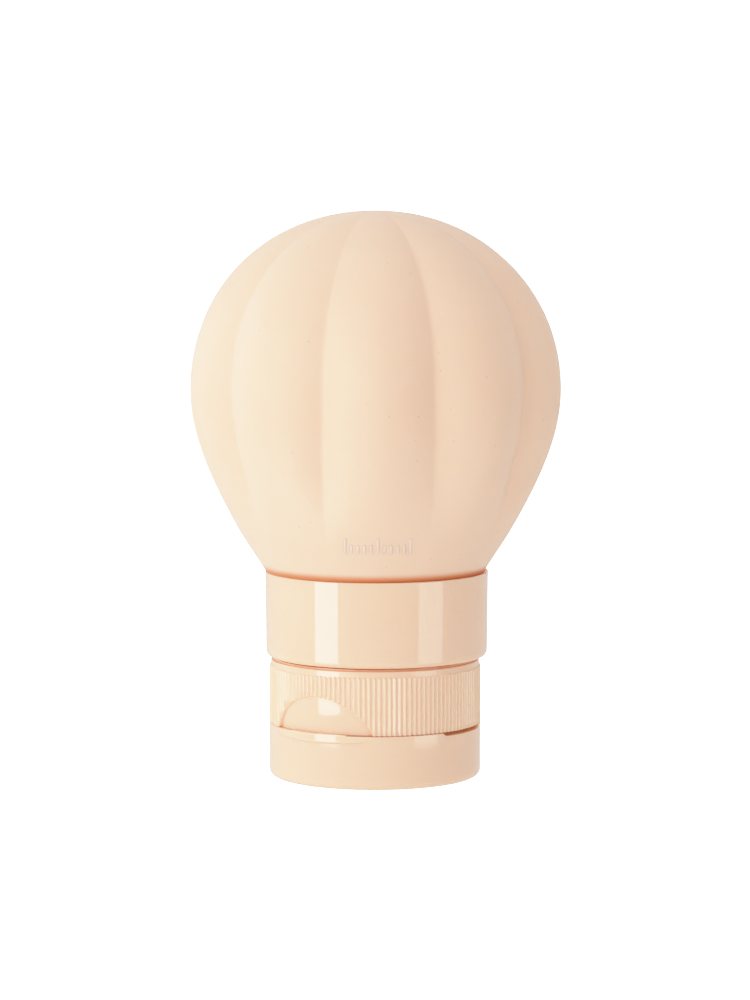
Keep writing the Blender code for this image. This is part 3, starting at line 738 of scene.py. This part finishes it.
def scoopTool(capRadius):
    # a half disc from the front; its inner face is curved about the cap's axis and has a softly sloping rim
    outline = scoop["radius"] + scoop["slope"] / 2
    apex = scoop["centreHeight"] + scoop["radius"]
    outer = capRadius + scoop["overrun"]
    rims = [outline - scoop["slope"] * share for share in spread(0, 1, scoop["slopeRings"])]
    rims += spread(outline - scoop["slope"], 0, scoop["rings"])[1:]
    inside, outside = [], []
    for rim in rims:
        sink = smooth((outline - rim) / scoop["slope"])
        for turn in spread(0, math.pi, scoop["facets"]):
            height = scoop["centreHeight"] + rim * math.sin(turn)
            down = clamp((apex - height) / (apex - cap["skirtBottom"]), 0, 2)
            depth = scoop["apexDepth"] + (scoop["lowDepth"] - scoop["apexDepth"]) * down ** scoop["bow"]
            degrees = math.degrees(math.asin(rim * math.cos(turn) / capRadius))
            inside.append(polar(capRadius + scoop["lift"] - (depth + scoop["lift"]) * sink, degrees, height))
            outside.append(polar(outer, degrees, height))
    wide, total = scoop["facets"] + 1, len(inside)
    faces = []
    for i in range(len(rims) - 1):
        for j in range(wide - 1):
            quad = (i * wide + j, i * wide + j + 1, (i + 1) * wide + j + 1, (i + 1) * wide + j)
            faces += [quad, tuple(k + total for k in reversed(quad))]
        for a in (i * wide, i * wide + wide - 1):
            faces.append((a, a + wide, a + wide + total, a + total))
    faces += [(j, j + 1, j + 1 + total, j + total) for j in range(wide - 1)]
    return meshObject("scoopTool", inside + outside, faces)


def sectorPlate(name, inner, outer, start, end, bottom, top, columns, rows=1):
    # a curved plate about the Z axis; outer may be a function of the height
    outerAt = outer if callable(outer) else (lambda height: outer)
    verts, faces = [], []
    heights = spread(bottom, top, rows)
    for degrees in spread(start, end, columns):
        verts += [polar(inner, degrees, z) for z in heights]
        verts += [polar(outerAt(z), degrees, z) for z in reversed(heights)]
    count = 2 * len(heights)
    faces = [(i * count + j, i * count + (j + 1) % count, (i + 1) * count + (j + 1) % count, (i + 1) * count + j)
             for i in range(columns) for j in range(count)]
    faces += [tuple(range(count)), tuple(columns * count + j for j in range(count))]
    return meshObject(name, verts, faces)


def pocketTool(capRadius):
    # the pocket at the back that the hinge's plates lie in
    return sectorPlate("pocketTool", hinge["floor"], capRadius + hinge["pocketOverrun"], 180 - hinge["halfAngle"],
                       180 + hinge["halfAngle"], hinge["down"], hinge["up"], hinge["pocketColumns"])


capRadius = cap["bandRadius"] + cap["ribHeight"]
capBase = flattenWalls(cutAway(buildBase(), [scoopTool(capRadius), pocketTool(capRadius)], crispAngle))
dress(capBase, plastic)
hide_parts("cap_base")
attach(capBase, "cap")
# the cap's ridge runs close under the spout's
capThread = threadMesh("capThread", cap["bore"], cap["threadReach"], neck["threadStart"] - cap["threadDrop"], 0)
dress(capThread, plastic)
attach(capThread, "cap")
print("cap base:", len(capBase.data.polygons), "faces")


# Flip lid: plain turned cup with a thumb lip in front, a flared ledge under it and a notch at each side

lid = {
    "height": 8.66, "lean": 0.055, "edge": 1.15, "rimEdge": 0.07, "inner": 15.48, "floor": 1.4, "fillet": 0.6,
    "innerBreak": 1.5, "baseRings": (4, 9, 13), "edgeSteps": 14, "columns": 900,
    "lipHalf": 17.7, "lipRamp": 0.45, "lipHeight": 8.8, "lipBack": 16.34,
    "ledgeHalf": 31.5, "ledgeReach": 0.38, "ledgeTop": 0.34, "ledgeTurn": 0.26, "ledgeDrop": 1.22, "ledgeBow": 1.85,
    "ledgeRows": 24, "wallEnd": 0.2, "notchStart": 73.0, "notchEnd": 112.0, "notchRamp": 2.2, "notchDepth": 0.5,
    "plug": 3.1, "plugWall": 0.8, "plugTop": 9.2, "plugRoot": 0.3, "plugLead": 0.25, "plugEdge": 0.2,
}


def fromLip(degrees):
    # angle from the middle of the thumb lip, to either side
    return abs((degrees + 180) % 360 - 180)


def plainHeight(degrees):
    # the shut lid leans a little to one side
    away = fromLip(degrees)
    into = min(away - lid["notchStart"], lid["notchEnd"] - away) / lid["notchRamp"]
    return lid["height"] - lid["lean"] * math.sin(math.radians(degrees)) - lid["notchDepth"] * clamp(into)


def rimHeight(degrees):
    lip = smooth((lid["lipHalf"] + lid["lipRamp"] - fromLip(degrees)) / lid["lipRamp"])
    plain = plainHeight(degrees)
    return plain + lip * (lid["lipHeight"] - plain)


def ledgeShare(degrees):
    away = fromLip(degrees) / lid["ledgeHalf"]
    return (1 - away ** lid["ledgeBow"]) ** (1 / lid["ledgeBow"]) if away < 1 else 0.0


def lidWall(degrees, share):
    # from the ledge's lower line (share 0) to the rim (share 1): out over a short turn, then back up to the rim
    full = ledgeShare(degrees)
    top = rimHeight(degrees) - lid["rimEdge"]
    bottom = lid["height"] - lid["notchDepth"] - lid["rimEdge"] - lid["wallEnd"]
    bottom -= (lid["ledgeDrop"] - lid["notchDepth"] - lid["rimEdge"]) * full
    reach = lid["ledgeReach"] * smooth(share / lid["ledgeTurn"])
    reach -= (lid["ledgeReach"] - lid["ledgeTop"]) * smooth((share - lid["ledgeTurn"]) / (1 - lid["ledgeTurn"]))
    return capRadius + full * reach, bottom + (top - bottom) * share


def buildLid():
    angles = evenAngles(lid["columns"])
    base = [(r, 0) for r in lid["baseRings"]]
    base += arcPoints(capRadius - lid["edge"], lid["edge"], lid["edge"], -90, 0, lid["edgeSteps"])
    rings = [ringPoints(angles, r, z) for r, z in base]
    for share in spread(0, 1, lid["ledgeRows"]):
        rings.append([polar(lidWall(a, share)[0], a, lidWall(a, share)[1]) for a in angles])
    for a in (22.5, 45, 67.5, 90):    # outer edge of the rim
        back = lid["rimEdge"] * (1 - math.cos(math.radians(a)))
        up = lid["rimEdge"] * (math.sin(math.radians(a)) - 1)
        rings.append(ringPoints(angles, lambda d: lidWall(d, 1)[0] - back, lambda d: rimHeight(d) + up))
    rings.append(ringPoints(angles, lid["lipBack"], rimHeight))    # the lip stands up in front of the cap's skirt
    rings.append(ringPoints(angles, lid["lipBack"] - lid["rimEdge"], plainHeight))
    rings.append(ringPoints(angles, lid["inner"] + lid["rimEdge"], plainHeight))
    rings.append(ringPoints(angles, lid["inner"], lambda d: plainHeight(d) - lid["rimEdge"]))
    plugInner = lid["plug"] - lid["plugWall"]
    corners = [
        (lid["inner"], lid["height"] - lid["innerBreak"], 0), (lid["inner"], lid["floor"], lid["fillet"]),
        (lid["plug"], lid["floor"], lid["plugRoot"]), (lid["plug"], lid["plugTop"], lid["plugLead"]),
        (plugInner, lid["plugTop"], lid["plugEdge"]), (plugInner, lid["floor"], lid["plugEdge"]),
        (1, lid["floor"], 0),
    ]
    rings += [ringPoints(angles, r, z) for r, z in rounded(corners, 4, closed=False)]
    return ringMesh("flipLid", rings, firstTip=0, lastTip=lid["floor"], sharpAngle=crispAngle)


flipLid = flattenWalls(cutAway(buildLid(), [pocketTool(capRadius)], crispAngle))
dress(flipLid, plastic)
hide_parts("flip_lid")
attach(flipLid, "lid")
print("lid:", len(flipLid.data.polygons), "faces")


# Living hinge: a film with a groove on the axis, and a spring strap at each side

def hingePlate(name, thickness, start, end):
    def outerAt(height):
        near = abs(height - hinge["axisHeight"]) / hinge["grooveWidth"]
        return hinge["plateRadius"] + thickness - hinge["groove"] * smooth(1 - near)

    plate = sectorPlate(name, hinge["plateRadius"], outerAt, 180 + start, 180 + end,
                        hinge["down"] - hinge["overlap"], hinge["up"] + hinge["overlap"],
                        hinge["columns"], hinge["rows"])
    dress(plate, plastic)
    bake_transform(plate)
    return plate


hingeFilm = hingePlate("hingeFilm", hinge["filmThickness"], -hinge["filmHalf"], hinge["filmHalf"])
hingeStrapLeft = hingePlate("hingeStrapLeft", hinge["strapThickness"], hinge["strapInner"], hinge["strapOuter"])
hingeStrapRight = hingePlate("hingeStrapRight", hinge["strapThickness"], -hinge["strapOuter"],
                             -hinge["strapInner"])
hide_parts("hinge_film")
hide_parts("hinge_strap_left")
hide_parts("hinge_strap_right")
print("hinge made")


# Slit valve, its retaining ring and the liner

valve = {
    "radius": 7.0, "thickness": 0.8, "bottom": 10.8, "dish": 3.1, "dishDepth": 1.3, "dishSteps": 14,
    "tip": 0.05, "slit": 3.6, "slitWidth": 0.06, "slitHeight": 6.0, "slitTurns": (46.3, -43.7), "columns": 120,
}
retainer = {"radius": 7.0, "bore": 3.6, "bottom": 11.9, "top": 12.9, "edge": 0.2}
gasket = {"radius": 13.4, "width": 2.4, "bottom": 12.0, "top": 13.0, "edge": 0.1}


def buildValve():
    top = valve["bottom"] + valve["thickness"]
    dishInner = valve["dish"] - valve["thickness"]
    # both sides of the dish stop a little before its middle, where one point closes them
    outer = [(valve["dish"] * math.sin(a), valve["bottom"] - valve["dishDepth"] * math.cos(a))
             for a in spread(valve["tip"], math.pi / 2, valve["dishSteps"])]
    inner = [(dishInner * math.cos(a), top - valve["dishDepth"] * math.sin(a))
             for a in spread(0, math.pi / 2 - valve["tip"], valve["dishSteps"])]
    flange = [(valve["radius"], valve["bottom"]), (valve["radius"], top)]
    body = turnedMesh("valveMembrane", outer + flange + inner, valve["columns"],
                      firstTip=valve["bottom"] - valve["dishDepth"], lastTip=top - valve["dishDepth"])
    tools = []
    for turn in valve["slitTurns"]:    # the two arms of the cross slit
        bpy.ops.mesh.primitive_cube_add(size=1)
        blade = bpy.context.object
        blade.name = "slitTool"
        blade.scale = (valve["slit"] * mm, valve["slitWidth"] * mm, valve["slitHeight"] * mm)
        blade.rotation_euler = (0, 0, math.radians(turn))
        blade.location = (0, 0, valve["bottom"] * mm)
        tools.append(blade)
    return cutAway(body, tools)


def ringOf(name, size):
    inner = size.get("bore", size["radius"] - size.get("width", 0))
    corners = [(inner, size["top"], size["edge"]), (size["radius"], size["top"], size["edge"]),
               (size["radius"], size["bottom"], size["edge"]), (inner, size["bottom"], size["edge"])]
    return turnedMesh(name, rounded(corners, 4), valve["columns"])


valveMembrane = dress(buildValve(), membrane)
valveRetainer = dress(ringOf("valveRetainer", retainer), plastic)
capGasket = dress(ringOf("capGasket", gasket), liner)
for piece, node, body in ((valveMembrane, "valve_membrane", "cap"), (valveRetainer, "valve_retainer", "cap"),
                          (capGasket, "cap_gasket", "gasket")):
    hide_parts(node)
    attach(piece, body)
print("valve and liner made")


# Camera, floor and light

shot = {
    "turn": 33.5, "pitch": 5.8, "distance": 672.0, "aimHeight": 44.31, "lens": 151.2, "sensor": 36.0, "near": 10.0,
}


def fromCamera(degrees, distance, height):
    # a place at an angle from the camera's own direction, positive to its right
    return polar(distance, shot["turn"] + degrees, height)


def buildCamera():
    camera = bpy.data.objects.new("camera", bpy.data.cameras.new("camera"))
    camera.data.lens = shot["lens"]
    camera.data.sensor_width = shot["sensor"]
    camera.data.clip_start = shot["near"] * mm
    pitch = math.radians(shot["pitch"])
    level = shot["distance"] * math.cos(pitch)
    camera.location = fromCamera(0, level, shot["aimHeight"] + shot["distance"] * math.sin(pitch))
    camera.rotation_euler = (math.pi / 2 - pitch, 0, math.radians(shot["turn"]))
    bpy.context.scene.collection.objects.link(camera)
    bpy.context.scene.camera = camera


floorLook = {
    "radius": 900.0, "innerRings": (100, 30), "columns": 96, "drop": 30.0, "colour": "#F6F5F3", "roughness": 0.9,
    "spray": 1.2, "sprayStrength": 0.05, "sprayDepth": 0.05, "glow": 0.07, "mirroredGlow": 0.7, "seenGlow": 3.0,
}


def buildFloor():
    # a painted board, sprayed matte white and lit from below like a light table
    look = floorLook
    material, tree, shader = newMaterial("boardSprayedMatteWhite")
    place = addNode(tree, "ShaderNodeTexCoord").outputs["Object"]
    spray = addNode(tree, "ShaderNodeTexNoise", {"Vector": place, "Scale": perMetre(look["spray"]), "Detail": 2.0})
    bump = addNode(tree, "ShaderNodeBump", {"Height": spray.outputs["Fac"], "Strength": look["sprayStrength"],
                                            "Distance": look["sprayDepth"] * mm})
    tree.links.new(bump.outputs["Normal"], shader.inputs["Normal"])
    shader.inputs["Roughness"].default_value = look["roughness"]
    shader.inputs["Emission Color"].default_value = (1, 1, 1, 1)
    # in reflections the board is an even grey white
    rays = addNode(tree, "ShaderNodeLightPath").outputs
    tone = addNode(tree, "ShaderNodeMix", {"Factor": rays["Is Glossy Ray"],
                                           firstColour: linearColour(look["colour"]),
                                           secondColour: (0, 0, 0, 1)}, data_type="RGBA")
    tree.links.new(tone.outputs[mixedColour], shader.inputs["Base Color"])
    mirrored = addNode(tree, "ShaderNodeMapRange", {"Value": rays["Is Glossy Ray"], "To Min": look["glow"],
                                                    "To Max": look["mirroredGlow"]})
    glow = addNode(tree, "ShaderNodeMapRange", {"Value": rays["Is Camera Ray"],
                                                "To Min": mirrored.outputs["Result"],
                                                "To Max": look["seenGlow"]})
    tree.links.new(glow.outputs["Result"], shader.inputs["Emission Strength"])
    # no shadow falls round the bottle, so the board lies deep enough for the lid to swing open above it
    angles = evenAngles(look["columns"])
    rings = [ringPoints(angles, r, -look["drop"]) for r in (look["radius"], *look["innerRings"])]
    board = ringMesh("floor", rings, lastTip=-look["drop"])
    board.data.materials.append(material)


def areaLight(name, degrees, distance, height, width, tall, power, aim=44.0, diffuse=True):
    data = bpy.data.lights.new(name, "AREA")
    data.shape = "RECTANGLE"
    data.size = width * mm
    data.size_y = tall * mm
    data.energy = power
    lamp = bpy.data.objects.new(name, data)
    lamp.location = fromCamera(degrees, distance, height)
    towards = Vector((0, 0, aim * mm)) - lamp.location
    lamp.rotation_euler = towards.to_track_quat("-Z", "Y").to_euler()
    lamp.visible_camera = False
    lamp.visible_diffuse = diffuse
    bpy.context.scene.collection.objects.link(lamp)


worldLook = {"fill": 0.75, "seen": 4.0}


def buildWorld():
    # even white light from all round; the camera sees it as plain white
    world = bpy.data.worlds.new("studio")
    world.use_nodes = True
    tree = world.node_tree
    background = tree.nodes["Background"]
    seen = addNode(tree, "ShaderNodeLightPath").outputs["Is Camera Ray"]
    strength = addNode(tree, "ShaderNodeMapRange", {"Value": seen, "To Min": worldLook["fill"],
                                                    "To Max": worldLook["seen"]})
    background.inputs["Color"].default_value = (1, 1, 1, 1)
    tree.links.new(strength.outputs["Result"], background.inputs["Strength"])
    bpy.context.scene.world = world


toneCurve = {"knee": 0.7, "white": 4.0, "steps": (0.8, 0.9, 1.0, 1.15, 1.3, 1.5, 1.8, 2.2, 3.0)}


def softHighlights():
    # a film-like shoulder: linear up to the knee, then easing towards white
    view = bpy.context.scene.view_settings
    view.view_transform = "Standard"
    view.use_curve_mapping = True
    mapping = view.curve_mapping
    knee, white = toneCurve["knee"], toneCurve["white"]
    mapping.white_level = (white, white, white)
    curve = mapping.curves[3]    # the one for all three channels
    curve.points[1].location = (1, 1)
    for light in (knee / 2, knee, *toneCurve["steps"]):
        shown = light if light <= knee else knee + (1 - knee) * (1 - math.exp((knee - light) / (1 - knee)))
        curve.points.new(light / white, shown)
    mapping.update()


buildCamera()
buildFloor()
buildWorld()
areaLight("keySoftbox", -45, 508, 152, 420, 240, 1.03)
areaLight("backSoftbox", -115, 508, 152, 240, 240, 0.36)
areaLight("topSoftbox", 0, 20, 560, 240, 240, 0.2)
# the two strips show only as reflections on the gloss pieces
areaLight("leftStrip", -45.05, 54, 17.25, 21.4, 33.5, 0.0126, aim=17.25, diffuse=False)
areaLight("rightStrip", 49.0, 54, 17.25, 22.9, 33.5, 0.0056, aim=17.25, diffuse=False)
softHighlights()
print("camera, floor and light made")
